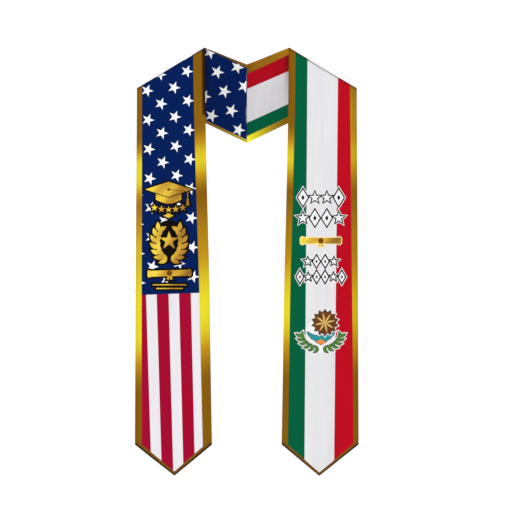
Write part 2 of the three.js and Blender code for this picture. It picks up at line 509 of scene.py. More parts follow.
# Painted sheen and shade in lengthwise streaks, on the satin and on the gold.
SHEEN_STREAKS = {"scale": 300, "stretch": (1, 1, 0.02)}
# Painted shade on the crest of the shoulder folds, between these shares along the Run map.
CREST_PAINTED_SHADE = {"from": 1.05, "to": 1.65, "depth": 0.5}


def star_field(place, origin, first, second, arm, size):
    """White five-pointed stars on a lattice: how far inside a star each place is, in metres.
    The lattice is nearly square, so the nearest star is the one at the rounded counts."""
    across, up = place[0] - origin[0], place[1] - origin[1]
    turn = first[0] * second[1] - first[1] * second[0]
    one = (across * second[1] - up * second[0]) / turn
    two = (up * first[0] - across * first[1]) / turn
    one_left, two_left = one - one.maths("ROUND"), two - two.maths("ROUND")
    x = one_left * first[0] + two_left * second[0]
    y = one_left * first[1] + two_left * second[1]
    reach = (x * x + y * y).maths("SQRT")
    angle = y.maths("ARCTAN2", x) - math.radians(arm)
    edge = angle.maths("PINGPONG", POINT_ANGLE) - 2 * POINT_ANGLE
    return size * math.cos(2 * POINT_ANGLE) - reach * edge.maths("COSINE")


def painted_crest_shade(paint):
    """Painted shade along the crest of the shoulder fold: how much of the colour is left, from 1 down.
    """
    rise = (paint.place("Run")[1] - CREST_PAINTED_SHADE["from"]) / (CREST_PAINTED_SHADE["to"] - CREST_PAINTED_SHADE["from"])
    return 1 - CREST_PAINTED_SHADE["depth"] * rise.clamped()


def shaded_by(paint, colour, grey):
    channels = {"Red": grey, "Green": grey, "Blue": grey}
    grey_colour = paint.node("ShaderNodeCombineColor", {}, channels)
    settings = {"data_type": "RGBA", "blend_type": "MULTIPLY"}
    return paint.node("ShaderNodeMix", settings, {0: 1.0, 6: colour, 7: grey_colour}, 2)


def uneven(amounts, **grains):
    """A roughness that strays from its rest with each grain, by that grain's amount."""
    roughness = amounts["rest"]
    for name, grain in grains.items():
        roughness = roughness + (grain - 0.5) * amounts[name]
    return roughness


def dye_satin(name, make_colour, shade):
    """Satin with the grain of its threads, a slight mottle, painted sheen and shade in lengthwise
    streaks, and the print that make_colour gives.
    """
    paint = Paint(name, SATIN)
    mottle, streaks, threads = (paint.grain(**grain) for grain in (MOTTLE, SHEEN_STREAKS, THREADS))
    grey = SATIN_GREY["rest"] + mottle * SATIN_GREY["mottle"] + streaks * SATIN_GREY["streaks"]
    colour = shaded_by(paint, make_colour(paint), shade(paint) * grey)
    roughness = uneven(SATIN_ROUGHNESS, mottle=mottle, threads=threads)
    return paint.finish(colour, roughness, threads, THREAD_DEPTH)


def dress(piece, material):
    piece.data.materials.append(material)


# Where the left panel's stars are, and where they give way to the stripes. These lean in and grow
# narrower on the way down, and the red bleeds a little into the white.
FRONT_STARS = {
    "origin": (-0.1854, -0.0515),
    "first": (0.02416, 0.03012),
    "second": (0.02581, -0.02438),
    "arm": -3,
    "size": 0.0119,
}
STARS_END = -0.4195
STRIPES_TOP = {"x": -0.146, "z": -0.4295, "tilt": 0.035}
STRIPES = {"x": -0.1045, "pitch": 0.02082, "lean": 0.0234, "narrowing": 0.078, "bleed": 0.098}


def starred_colour(paint):
    place = paint.place("Print")
    stars = star_field(place, **FRONT_STARS).over(PRINT_EDGE)
    stars = stars * (place[1] - STARS_END).over(PRINT_EDGE)
    field = paint.blend(stars, NAVY, STAR_WHITE)
    below = STRIPES_TOP["z"] - place[1]
    number = (place[0] - STRIPES["x"] - below * STRIPES["lean"]) / STRIPES["pitch"]
    number = number / (1 - below * STRIPES["narrowing"])
    white = (number * math.pi).maths("SINE") - STRIPES["bleed"]
    white = white.over(math.pi * PRINT_EDGE / STRIPES["pitch"])
    stripes = paint.blend(white, STRIPE_RED, STRIPE_WHITE)
    tilted = below + (place[0] - STRIPES_TOP["x"]) * STRIPES_TOP["tilt"]
    return paint.blend(tilted.over(PRINT_EDGE), field, stripes)


# The lines where the right panel's stripes meet, at the height of the peak, and how far they lean
# in towards the neck on the way down.
GREEN_TO_WHITE = {"x": 0.1127, "lean": 0.0073}
WHITE_TO_RED = {"x": 0.1698, "lean": 0.0104}


def tricolour(paint):
    x, z = paint.place("Print")
    white = (x - GREEN_TO_WHITE["x"] - z * GREEN_TO_WHITE["lean"]).over(PRINT_EDGE)
    red = (x - WHITE_TO_RED["x"] - z * WHITE_TO_RED["lean"]).over(PRINT_EDGE)
    return paint.blend(red, paint.blend(white, FLAG_GREEN, FLAG_WHITE), FLAG_RED)


print_satin = dye_satin("starred_satin_print", starred_colour, painted_crest_shade)
dress(panels["left"], print_satin)
print_satin = dye_satin("tricolour_satin_print", tricolour, painted_crest_shade)
dress(panels["right"], print_satin)


# The two neck strips go from the shoulder folds round the back of the neck, where their square-cut
# ends meet in a mitre seam. Each is the same double satin, with its print turned to run along it.
SEAM_LENGTH = 0.147
STRIP_SAG = 0.008
SEAM_Y = 0.001
EARLY_SWING = 0.75
STRIP_FOLD_ROWS = 14
STRIP_ROWS = 84
STRIP_TRIMS = {
    "left": {"neck": (0.0016, 0.006), "nape": (0.0052, 0.0056)},
    "right": {"neck": (0.0124, 0.0165), "nape": (0.0105, 0.0116)},
}
STRIP_RIPPLE = 0.6
STRIP_SEED = 7
# The strips' colours are painted darker than the panels', as shade.
STRIP_PAINTED_SHADE = 0.86
STRIP_NAVY = dye(0, 31, 92)
STRIP_STAR_WHITE = dye(255, 255, 255)
STRIP_WHITE = dye(221, 219, 222)
STRIP_GREEN = dye(0, 94, 62)
STRIP_SLOPE = math.atan2(
    2 * PEAK_RISE + SEAM_LENGTH - FOLD_DROP, 2 * NECK_HALF_WIDTH + SHOULDER_WIDTH
)
SEAM_WIDTH = SEAM_LENGTH * math.cos(STRIP_SLOPE)


def seam_point(across):
    return Vector((0, SEAM_Y, -SEAM_LENGTH * across))


def strip_point(side, across, along):
    """Along runs from the fold's seam (0) over the crest and down behind it (1), then back round
    the neck to the centre seam (2), where the strip is level."""
    way = seam_point(across) - crest_point(across)
    way.y = 0
    way.normalize()
    if along < 1:
        turn = mix(FOLD_SEAM, 1, along)
        return fold_point(across, turn, way if turn > 0.5 else Vector((0, 0, -1)))
    to_seam = along - 1
    start = fold_point(across, 1, way)
    point = start.lerp(seam_point(across), to_seam)
    point.y = mix(start.y, SEAM_Y, smooth_step(to_seam**EARLY_SWING))
    point.z -= SEAM_LENGTH * STRIP_SAG * across * math.sin(math.pi * to_seam)
    loose = STRIP_RIPPLE * math.sin(math.pi * to_seam)
    point.y += loose * ripple(point.z, point.x, side["phase"] * RIPPLE_SEED + STRIP_SEED)
    return point


def strip_width(along):
    return mix(SHOULDER_WIDTH, SEAM_WIDTH, max(0, along - 1))


def strip_share(where, edge, along, tuck=0):
    """How much of the strip's width one of its trims covers, less a tuck."""
    fold, seam = STRIP_TRIMS[where][edge]
    return (mix(fold, seam, max(0, along - 1)) - tuck) / strip_width(along)


def unfolded(point):
    """The place in the print that a strip would have if it were turned back about the fold's
    crest, into the plane of the panels."""
    crest = Vector((SHOULDER_WIDTH, 0, -FOLD_DROP)).normalized()
    start = Vector((NECK_HALF_WIDTH, 0, PEAK_RISE))
    flat = Vector((abs(point.x), 0, point.z)) - start
    turned = start + crest * (2 * flat.dot(crest)) - flat
    return math.copysign(turned.x, point.x or 1), turned.z


STRIP_CUT = {
    "surface": strip_point,
    "run": two_stretches(STRIP_FOLD_ROWS, STRIP_ROWS),
    "print": unfolded,
    "trims": ("neck", "nape"),
    "share": strip_share,
    "middle": 0.5,
}
strips = lay_satins("neck_strip", STRIP_CUT)

STRIP_STARS = {
    "origin": (-0.1059, 0.0687),
    "first": (-0.02549, 0.02862),
    "second": (0.02607, 0.02829),
    "arm": -5.4,
    "size": 0.013,
}
# The shares across at which white follows red and green follows white, at the fold and the seam.
STRIP_LINES = {"white": (0.322, 0.314), "green": (0.76, 0.745)}
# Painted shade on the strips right beside the panels' inner edges, strongest high up.
FOLD_SHADE = {"depth": 0.42, "reach": 0.011, "from": -0.075, "rise": 0.06}


def painted_strip_shade(paint):
    """Painted shade: the strips are a little darker than the panels, most of all high up beside them.
    """
    x, z = paint.spot()
    near = (1 - abs(NECK_HALF_WIDTH - abs(x)) / FOLD_SHADE["reach"]).clamped()
    high = ((z - FOLD_SHADE["from"]) / FOLD_SHADE["rise"]).clamped()
    return STRIP_PAINTED_SHADE * (1 - FOLD_SHADE["depth"] * near * high)


def strip_starred(paint):
    stars = star_field(paint.place("Print"), **STRIP_STARS).over(PRINT_EDGE)
    return paint.blend(stars, STRIP_NAVY, STRIP_STAR_WHITE)


def strip_tricolour(paint):
    across, along = paint.place("Run")
    to_seam = (along - 1).clamped()
    past = {}
    for colour, (fold, seam) in STRIP_LINES.items():
        line = across - fold - to_seam * (seam - fold)
        past[colour] = line.over(PRINT_EDGE / SHOULDER_WIDTH)
    white = paint.blend(past["white"], FLAG_RED, STRIP_WHITE)
    return paint.blend(past["green"], white, STRIP_GREEN)


print_satin = dye_satin("starred_strip_print", strip_starred, painted_strip_shade)
dress(strips["left"], print_satin)
print_satin = dye_satin("tricolour_strip_print", strip_tricolour, painted_strip_shade)
dress(strips["right"], print_satin)


# The gold trims are bindings of folded gold satin along every edge, sewn over the edge of the
# printed satin. Their gold has painted highlights in broad bands of light from brown to bright
# yellow down the panels: each band has its strength on the inner and the outer trim of either side.
TRIM_CLOTH = {"thickness": 0.002, "rounding": 0.0008, "columns": 6}
TAIL_CLOTH = {**TRIM_CLOTH, "columns": 60}
TAIL_ROWS = 4
GOLD = {"Specular IOR Level": 0.1, "Metallic": 0.55}
# The gold's colour carries painted sheen in lengthwise streaks.
GOLD_GREY = {"rest": 0.9, "streaks": 0.2}
GOLD_ROUGHNESS = {"rest": 0.4, "streaks": 0.2, "threads": 0.1}
GOLD_SHADES = [
    (0, dye(126, 84, 4)),
    (0.5, dye(188, 142, 18)),
    (1, dye(226, 212, 38)),
]
GOLD_PAINTED_LIGHTS = [
    {"z": -0.104, "reach": 0.11, "left": (0.03, 0.03), "right": (0, 0.36)},
    {"z": -0.177, "reach": 0.066, "left": (0.82, 1.12), "right": (0.82, 0.48)},
    {"z": -0.29, "reach": 0.14, "left": (0, 0.32), "right": (0, 0.06)},
    {"z": -0.352, "reach": 0.12, "left": (0.39, 0.52), "right": (0.31, 0.22)},
    {"z": -0.462, "reach": 0.13, "left": (0.96, 1.08), "right": (0.92, 0.68)},
]
GOLD_LAG = {"left": 0.028, "right": 0.003}
GOLD_AT_REST = 0.02
# Painted shade: this share of the painted light is lost across a trim, towards the panel's edge.
GOLD_EDGE_SHADE = {"inner": 0.05, "outer": 0.22}  # of the light is lost across a trim
# Beside the neck the inner trim's edge is painted dark, as shade where its strip turns under it.
NECK_SHADE_ABOVE = {"z": -0.097, "softness": 0.004}
NECK_EDGE_SHADE = {
    "left": {"reach": 0.0055, "softness": 0.0028, "depth": 0.9},
    "right": {"reach": 0.0016, "softness": 0.0016, "depth": 0.35},
}
TAIL_GOLD = {"edge": dye(38, 24, 4), "inside": dye(118, 78, 18), "from": 0.4, "softness": 0.2}
# The golds of the strips' trims, at the fold and at the centre seam. The nape trims are painted
# darker behind their panels, as shade, and brighten only from this share of the way to the seam.
STRIP_GOLD = {
    "neck": {
        "from": 0,
        "left": (dye(62, 48, 20), dye(136, 96, 16)),
        "right": (dye(160, 112, 16), dye(120, 78, 10)),
    },
    "nape": {
        "from": 0.6,
        "left": (dye(136, 96, 30), dye(196, 180, 56)),
        "right": (dye(132, 94, 16), dye(250, 244, 56)),
    },
}


def tail_point(side, across, along):
    """Along runs from the V of the tail (0) to the trim's upper edge (1)."""
    return hanging_point(side, across, tail_edge(across) + tail_trim_rise(side, across) * along)


def finish_gold(paint, colour):
    """Gold satin with painted sheen in streaks along its length, as light on its threads."""
    threads, streaks = paint.grain(**THREADS), paint.grain(**SHEEN_STREAKS)
    brushed = shaded_by(paint, colour, GOLD_GREY["rest"] + streaks * GOLD_GREY["streaks"])
    roughness = uneven(GOLD_ROUGHNESS, streaks=streaks, threads=threads)
    return paint.finish(brushed, roughness, threads, THREAD_DEPTH)


def banded_gold(where, edge):
    """Painted highlights in bands down a long trim, and painted shade across its width."""
    paint = Paint(f"{where}_{edge}_gold", GOLD)
    z = paint.place("Print")[1]
    across = paint.place("Run")[0]
    level = z + across * GOLD_LAG[where]
    light = GOLD_AT_REST
    for band in GOLD_PAINTED_LIGHTS:
        near = (band["reach"] / 2 - abs(level - band["z"])).over(band["reach"] / 2)
        light = near * band[where][0 if edge == "inner" else 1] + light
    colour = paint.node("ShaderNodeValToRGB", {"stops": GOLD_SHADES}, {"Fac": light})
    from_edge = across if edge == "inner" else 1 - across
    share_of_band = sum(SIDES[where][edge]) / 2 / SHOULDER_WIDTH
    painted_shade = 1 - GOLD_EDGE_SHADE[edge] * (1 - from_edge / share_of_band)
    # Painted shade along the inner trim's inner edge, high up beside the neck.
    if edge == "inner":
        neck_shade = NECK_EDGE_SHADE[where]
        near_neck = (neck_shade["reach"] - across * SHOULDER_WIDTH).over(neck_shade["softness"])
        high = (z - NECK_SHADE_ABOVE["z"]).over(NECK_SHADE_ABOVE["softness"])
        painted_shade = painted_shade * (1 - neck_shade["depth"] * near_neck * high)
    return finish_gold(paint, shaded_by(paint, colour, painted_crest_shade(paint) * painted_shade))


def tail_gold():
    """Dark along the edge of the V and browner towards the satin."""
    paint = Paint("tail_gold", GOLD)
    inwards = (paint.place("Run")[1] - TAIL_GOLD["from"]).over(TAIL_GOLD["softness"])
    return finish_gold(paint, paint.blend(inwards, TAIL_GOLD["edge"], TAIL_GOLD["inside"]))


def strip_gold(where, edge):
    """Changes along the strip, from its start on the way to the centre seam."""
    paint = Paint(f"{where}_{edge}_gold", GOLD)
    start = STRIP_GOLD[edge]["from"]
    to_seam = ((paint.place("Run")[1] - 1 - start) / (1 - start)).maths("MAXIMUM", 0)
    return finish_gold(paint, paint.blend(to_seam * to_seam, *STRIP_GOLD[edge][where]))


def trim_edges(where, edge, cut):
    """The shares across at which a trim starts, has its middle and ends."""

    def edges(along):
        if edge == "tail":
            return 0, TIP_SHARE, 1
        share = cut["share"](where, edge, along)
        low, high = (0, share) if edge == cut["trims"][0] else (1 - share, 1)
        return low, (low + high) / 2, high

    return edges


TAIL_CUT = {
    "surface": tail_point,
    "run": {"rows": TAIL_ROWS, "along_at": lambda share: share},
    "print": seen_from_front,
}
dark_gold = tail_gold()
for where in SIDES:
    for edge, cut, cloth, gold in (
        ("inner", PANEL_CUT, TRIM_CLOTH, banded_gold(where, "inner")),
        ("outer", PANEL_CUT, TRIM_CLOTH, banded_gold(where, "outer")),
        ("tail", TAIL_CUT, TAIL_CLOTH, dark_gold),
        ("neck", STRIP_CUT, TRIM_CLOTH, strip_gold(where, "neck")),
        ("nape", STRIP_CUT, TRIM_CLOTH, strip_gold(where, "nape")),
    ):
        name = f"{where}_{edge}"
        edges = trim_edges(where, edge, cut)
        trim = lay_cloth(f"{name}_binding", where, f"{name}_trim", cut, cloth, edges)
        dress(trim, gold)


# Gold thread holds the trims down: a row of short stitches along the inner edge of each, through
# the trim and the satin and back, so that it shows on both faces of the cloth.
STITCH = {"length": 0.0027, "pitch": 0.0036, "thickness": 0.00042, "inset": 0.0012}
BEAD = {"segments": 6, "ring_count": 4, "radius": 0.5}
STITCH_GOLD = dye(150, 106, 22)
THREAD = {"Specular IOR Level": 0.1, "Metallic": 0.2}
PLIES = {"count": 9000, "depth": 0.00005}
PLY_GROOVE_SHADE = {"low": 0.8, "more": 0.2}
PLY_ROUGHNESS = {"low": 0.5, "more": 0.05}
STRIP_SLANT = {"neck": 1.25, "nape": 1.12}  # how much longer an edge is than its straight span
NUDGE = 0.0005  # between the places on a surface that give its slope


def spaced(length):
    """The shares of a row's length at which its stitches lie."""
    count = int(length / STITCH["pitch"])
    return [(i + 0.5) / count for i in range(count)]


def stitch_rows(where):
    """Where the stitches go: the surface of each row, and the places of its stitches on it."""
    inset = STITCH["inset"]
    inner, outer, tail, neck, nape = [], [], [], [], []
    for along in spaced(PANEL_DROP):
        inner.append((panel_share(where, "inner", along, inset), along))
        outer.append((1 - panel_share(where, "outer", along, inset), along))
    low, high = panel_share(where, "inner", 0), 1 - panel_share(where, "outer", 0)
    for share in spaced(SHOULDER_WIDTH):
        across = mix(low, high, share)
        tail.append((across, 1 - inset / tail_trim_rise(SIDES[where], across)))
    for share in spaced(math.hypot(NECK_HALF_WIDTH, NECK_DEPTH) * STRIP_SLANT["neck"]):
        along = 1 + share
        least = inset / strip_width(along)
        neck.append((max(strip_share(where, "neck", along, inset), least), along))
    for share in spaced((NECK_HALF_WIDTH + SHOULDER_WIDTH) * STRIP_SLANT["nape"]):
        along = 1 + share
        nape.append((1 - strip_share(where, "nape", along, inset), along))
    return {
        "panel": [(panel_point, inner), (panel_point, outer), (tail_point, tail)],
        "strip": [(strip_point, neck), (strip_point, nape)],
    }


def sew(name, side, rows, thread):
    """One stitch is modelled as a small bead with round ends, and laid again at every place."""
    bpy.ops.object.select_all(action="DESELECT")
    bpy.ops.mesh.primitive_uv_sphere_add(**BEAD)
    bead = bpy.context.object
    shape = [Vector((v.co.z, v.co.x, v.co.y)) for v in bead.data.vertices]
    faces = [tuple(face.vertices) for face in bead.data.polygons]
    vertices, polygons = [], []
    for surface, places in rows:
        for i, (across, along) in enumerate(places):
            other = places[i + 1] if i + 1 < len(places) else places[i - 1]
            here = surface(side, across, along)
            ahead = (surface(side, *other) - here).normalized()
            beside = surface(side, across + NUDGE, along) - here
            outward = ahead.cross(beside).normalized()
            beside = outward.cross(ahead)
            for face_way in (-1, 1):
                middle = here + outward * face_way * TRIM_CLOTH["thickness"] / 2
                first = len(vertices)
                for corner in shape:
                    point = middle + ahead * corner.x * STITCH["length"]
                    point += (beside * corner.y + outward * corner.z) * STITCH["thickness"]
                    point.x *= side["sign"]
                    vertices.append(point)
                polygons += [tuple(first + corner for corner in face) for face in faces]
    bead.name = name
    bead.data = bpy.data.meshes.new(name)
    bead.data.from_pydata(vertices, [], polygons)
    bpy.ops.object.mode_set(mode="EDIT")
    bpy.ops.mesh.select_all(action="SELECT")
    bpy.ops.mesh.normals_make_consistent(inside=False)
    bpy.ops.object.mode_set(mode="OBJECT")
    bpy.ops.object.shade_smooth()
    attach(bead, "root")
    dress(bead, thread)
    return bead


def twisted_thread():
    """Thread of two plies: fine slanting bands, with painted shade in the grooves where they meet."""
    paint = Paint("gold_thread", THREAD)
    x, z = paint.spot()
    plies = ((x + z) * PLIES["count"]).maths("SINE") * 0.5 + 0.5
    colour = shaded_by(paint, STITCH_GOLD, PLY_GROOVE_SHADE["low"] + plies * PLY_GROOVE_SHADE["more"])
    roughness = PLY_ROUGHNESS["low"] + plies * PLY_ROUGHNESS["more"]
    return paint.finish(colour, roughness, plies, PLIES["depth"])


thread = twisted_thread()
for where, side in SIDES.items():
    for part, rows in stitch_rows(where).items():
        sew(f"{where}_{part}_stitches", side, rows, thread)


# The left panel's emblem is printed over the stars in gold with a black rim, as a thin skin of ink
# that follows the satin: a graduation cap with its tassel, a row of small stars, a laurel wreath
# round a large star, and a rolled diploma with its seal over two rules.
INK_LIFT = {"halo": 0.0001, "rim": 0.00016, "fill": 0.00022, "detail": 0.00028}
INK_WALL = 0.0001
INK_STEP = 0.005  # of the grid that divides a print, so that it follows the cloth
GOLD_RIM = 0.0034
INK_GOLD = [(0, dye(118, 80, 24)), (0.5, dye(186, 140, 46)), (1, dye(236, 206, 70))]
INK_GREY = {"rest": 0.92, "mottle": 0.16}
INK_ROUGHNESS = {"rest": 0.42, "threads": 0.1}
INK_LIGHT = {"middle": 0.62, "fall": 0.4, "sway": 0.16, "bands": 150}
CAP_PLACE = (-0.1453, -0.2352)
BOARD = {"reach": 0.0435, "rise": 0.0142}
SKULL = {"reach": 0.0238, "gap": 0.0017, "side": 0.019, "sag": 0.0265, "steps": 8}
TASSEL = {"x": 0.0355, "top": -0.004, "knot": -0.019, "end": -0.03}
TASSEL_HALVES = {"cord": 0.0007, "knot": 0.0019, "neck": 0.0014, "end": 0.0034}
BUTTON = 0.0026
BOARD_CORD = 0.0005
STAR_ROW = {"z": -0.0375, "pitch": 0.0132, "rise": 0.0034, "radius": 0.0071}
CAP_DROP = {"z": -0.0488, "reach": 0.0098, "rise": 0.0046}
WREATH = {
    "x": -0.1445,
    "z": -0.3325,
    "reach": 0.0245,
    "rise": 0.0335,
    "arcs": ((-98, -236), (-82, 56)),
    "pairs": 7,
    "leaf": (0.0175, 0.0084),
    "turn": 32,
}
WREATH_STAR = {"x": -0.1445, "z": -0.3305, "radius": 0.0182}
SHIELD = {"x": -0.1445, "z": -0.3325, "radius": 0.031, "rise": 0.0405}
DIPLOMA = {"x": -0.1437, "z": -0.391, "reach": 0.0375, "radius": 0.0056, "turn": 1.6}
RULES = {"x": -0.1437, "z": -0.4125, "drop": 0.0068, "reach": 0.031, "half": 0.0011, "less": 0.2}
# The ends of a rolled diploma and the tail of its ribbon are in radii of the roll.
ROLL_END = {"reach": 0.6, "rise": 1.24}
RIBBON = [(0, -0.9), (0.5, -0.9), (1.1, -2.1), (0.6, -1.9), (0.3, -2.3)]
SEAL = {"points": 12, "waist": 0.82}
CURL_CUT = 0.7  # of its reach is cut from each corner
LEAF_STEPS = 8
LEAF_BELLY = 0.85  # below 1, so a leaf is widest nearer its foot
ROUND_STEPS = 14  # on each half of an oval
SHARPEST = 0.5  # a corner moves out at most twice as far as its edges
PLACE_TRIES = 4  # to find how far across a panel a place is

prints = {"left": [], "right": []}


def star_outline(x, z, radius, points=5, waist=STAR_WAIST):
    """A star's tips and notches, from its top tip."""
    outline = []
    for i in range(2 * points):
        reach = radius if i % 2 == 0 else radius * waist
        angle = math.pi / 2 + math.pi * i / points
        outline.append((x + reach * math.cos(angle), z + reach * math.sin(angle)))
    return outline


def round_outline(x, z, radius, rise=None):
    flat = (rise or radius) / radius
    return [(x + a, z + b * flat) for a, b in star_outline(0, 0, radius, ROUND_STEPS, 1)]


def lozenge(x, z, reach, rise):
    return [(x - reach, z), (x, z - rise), (x + reach, z), (x, z + rise)]


def bar(x, z, reach, rise):
    left, right, low, high = x - reach, x + reach, z - rise, z + rise
    return [(left, low), (right, low), (right, high), (left, high)]


def curl(x, z, reach, rise):
    """A bar with its four corners cut off."""
    cut = reach * CURL_CUT
    corners = [(reach, cut - rise), (reach, rise - cut), (reach - cut, rise)]
    right = [(reach - cut, -rise), *corners]
    return [(x + a, z + b) for a, b in right + [(-a, -b) for a, b in right]]


def leaf_outline(x, z, length, width, arm):
    """A pointed leaf that grows from a place along arm, in degrees."""
    along = Vector((math.cos(math.radians(arm)), math.sin(math.radians(arm))))
    beside = Vector((-along.y, along.x))
    shares = [i / LEAF_STEPS for i in range(LEAF_STEPS + 1)]
    edge = [(share, math.sin(math.pi * share**LEAF_BELLY)) for share in shares]
    rim = edge + [(far, -out) for far, out in reversed(edge[1:-1])]
    foot = Vector((x, z))
    return [tuple(foot + along * far * length + beside * out * width / 2) for far, out in rim]


def placed(outlines, x, z, turn=0):
    """Outlines about their own middle, turned and moved to their place on the panel."""
    cosine, sine = math.cos(math.radians(turn)), math.sin(math.radians(turn))
    return [
        [(x + a * cosine - b * sine, z + a * sine + b * cosine) for a, b in outline]
        for outline in outlines
    ]


def sprigs(wreath):
    """Pairs of leaves along the arcs of an oval, one to each side of it."""
    reach, rise, pairs = wreath["reach"], wreath["rise"], wreath["pairs"]
    leaves = []
    for start, end in wreath["arcs"]:
        way = math.copysign(1, end - start)
        for i in range(pairs):
            angle = math.radians(mix(start, end, i / pairs))
            foot = (wreath["x"] + reach * math.cos(angle), wreath["z"] + rise * math.sin(angle))
            ahead = math.atan2(rise * math.cos(angle) * way, -reach * math.sin(angle) * way)
            for turn in (-wreath["turn"], wreath["turn"]):
                leaves.append(leaf_outline(*foot, *wreath["leaf"], math.degrees(ahead) + turn))
    return leaves


def rolled_diploma(x, z, reach, radius, turn):
    """A rolled sheet with a thicker curl at each end, and the two tails of its ribbon."""
    parts = [bar(0, 0, reach - radius / 2, radius)]
    for end in (-1, 1):
        parts.append(curl(end * reach, 0, radius * ROLL_END["reach"], radius * ROLL_END["rise"]))
        parts.append([(end * a * radius, b * radius) for a, b in RIBBON])
    return placed(parts, x, z, turn)


def outset(outline, margin):
    """An outline's parallel, a margin outside it, with its sharpest corners cut back."""
    turning = sum(a[0] * b[1] - b[0] * a[1] for a, b in zip(outline, outline[1:] + outline[:1]))
    way = math.copysign(1, turning)
    wider = []
    for before, here, after in zip(outline[-1:] + outline, outline, outline[1:] + outline[:1]):
        arriving = (Vector(here) - Vector(before)).normalized()
        leaving = (Vector(after) - Vector(here)).normalized()
        first, second = (Vector((edge.y, -edge.x)) * way for edge in (arriving, leaving))
        corner = (first + second).normalized()
        wider.append(tuple(Vector(here) + corner * margin / max(corner.dot(first), SHARPEST)))
    return wider


def on_panel(side, x, z, lift):
    """The place that is seen at (x, z) on a panel, a lift above its front face."""
    across = TIP_SHARE
    for attempt in range(PLACE_TRIES):
        inner, outer = panel_borders(down_share(across, z))
        across = (abs(x) - inner) / (outer - inner)
    front = hanging_point(side, across, z).y - SATIN_CLOTH["thickness"] / 2
    return Vector((x, front - lift, z))


def lay_print(name, where, outlines, lift, ink):
    """Prints outlines on a panel's front. Each is a disc, drawn out to its outline: they are
    joined, divided on a grid and laid on the satin as one thin skin of ink."""
    bpy.ops.object.select_all(action="DESELECT")
    discs = []
    for outline in outlines:
        bpy.ops.mesh.primitive_circle_add(vertices=len(outline), fill_type="NGON")
        disc = bpy.context.object
        for vertex, (x, z) in zip(disc.data.vertices, outline):
            vertex.co = (x, 0, z)
        disc.data.update()
        if disc.data.polygons[0].normal.y > 0:
            disc.data.flip_normals()
        discs.append(disc)
    for disc in discs:
        disc.select_set(True)
    if len(discs) > 1:
        bpy.ops.object.join()
    skin = bpy.context.object
    skin.name = name
    skin.data.name = name
    spots = [vertex.co.copy() for vertex in skin.data.vertices]
    bpy.ops.object.mode_set(mode="EDIT")
    bpy.ops.mesh.select_all(action="SELECT")
    bpy.ops.mesh.quads_convert_to_tris()
    for axis, normal in ((0, Vector((1, 0, 0))), (2, Vector((0, 0, 1)))):
        start = min(spot[axis] for spot in spots)
        end = max(spot[axis] for spot in spots)
        for cut in range(1, math.ceil((end - start) / INK_STEP)):
            bpy.ops.mesh.select_all(action="SELECT")
            bpy.ops.mesh.bisect(plane_co=normal * (start + cut * INK_STEP), plane_no=normal)
    bpy.ops.object.mode_set(mode="OBJECT")
    for vertex in skin.data.vertices:
        vertex.co = on_panel(SIDES[where], vertex.co.x, vertex.co.z, lift)
    wall = skin.modifiers.new("wall", "SOLIDIFY")
    wall.thickness = INK_WALL
    bpy.ops.object.modifier_apply(modifier="wall")
    bpy.ops.object.shade_smooth_by_angle(angle=SMOOTH_BELOW)
    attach(skin, "root")
    dress(skin, ink)
    prints[where].append(skin)


def print_rimmed(name, where, outlines, fill, *rims, over=0):
    """A print with rims in other inks, which are the same outlines laid wider and lower. Over
    raises all of it, so that it lies over another print."""
    for layer, (rim, margin) in zip(("rim", "halo"), rims):
        wider = [outset(outline, margin) for outline in outlines]
        lay_print(f"{name}_{layer}", where, wider, INK_LIFT[layer] + over, rim)
    lay_print(name, where, outlines, INK_LIFT["fill"] + over, fill)


def plain_ink(name, colour):
    """An ink of one colour, with the grain of the threads that show through it."""
    paint = Paint(name, SATIN)
    mottle, threads = paint.grain(**MOTTLE), paint.grain(**THREADS)
    inked = shaded_by(paint, colour, INK_GREY["rest"] + mottle * INK_GREY["mottle"])
    return paint.finish(inked, uneven(INK_ROUGHNESS, threads=threads), threads, THREAD_DEPTH)


def gold_ink(name, middle, reach):
    """Gold ink that is bright on the left of a print and turns brown to its right."""
    paint = Paint(name, GOLD)
    x, z = paint.spot()
    light = INK_LIGHT["middle"] - (x - middle) * (INK_LIGHT["fall"] / reach)
    light = light + ((x - z) * INK_LIGHT["bands"]).maths("SINE") * INK_LIGHT["sway"]
    return finish_gold(paint, paint.node("ShaderNodeValToRGB", {"stops": INK_GOLD}, {"Fac": light}))


black_ink = plain_ink("black_ink", dye(12, 9, 8))
brown_ink = plain_ink("brown_ink", dye(104, 62, 10))
left_gold = gold_ink("left_gold_ink", CAP_PLACE[0], BOARD["reach"])
black_rim = (black_ink, GOLD_RIM)


def print_diploma(where, place, rules, gold, rim):
    """A rolled diploma with its seal, and the rules that go with it."""
    outlines = rolled_diploma(**place) + rules
    print_rimmed(f"{where}_diploma_print", where, outlines, gold, rim)
    seal = [star_outline(place["x"], place["z"], place["radius"], **SEAL)]
    lay_print(f"{where}_diploma_seal", where, seal, INK_LIFT["detail"], brown_ink)


skull = []
for i in range(SKULL["steps"] + 1):
    share = i / SKULL["steps"]
    hang = mix(SKULL["side"], SKULL["sag"], math.sin(math.pi * share))
    skull.append((SKULL["reach"] * (2 * share - 1), -hang))
board_edge = BOARD["rise"] * (1 - SKULL["reach"] / BOARD["reach"]) + SKULL["gap"]
skull += [(SKULL["reach"], -board_edge), (0, -BOARD["rise"] - SKULL["gap"])]
skull.append((-SKULL["reach"], -board_edge))
cord = (TASSEL["top"] - TASSEL["knot"]) / 2
brush = [(TASSEL_HALVES["neck"], TASSEL["knot"]), (TASSEL_HALVES["end"], TASSEL["end"])]
tassel = [
    bar(0, TASSEL["top"] - cord, TASSEL_HALVES["cord"], cord),
    round_outline(0, TASSEL["knot"], TASSEL_HALVES["knot"]),
    [(-half, z) for half, z in brush] + brush[::-1],
]
cap = [lozenge(0, 0, **BOARD), skull, *placed(tassel, TASSEL["x"], 0)]
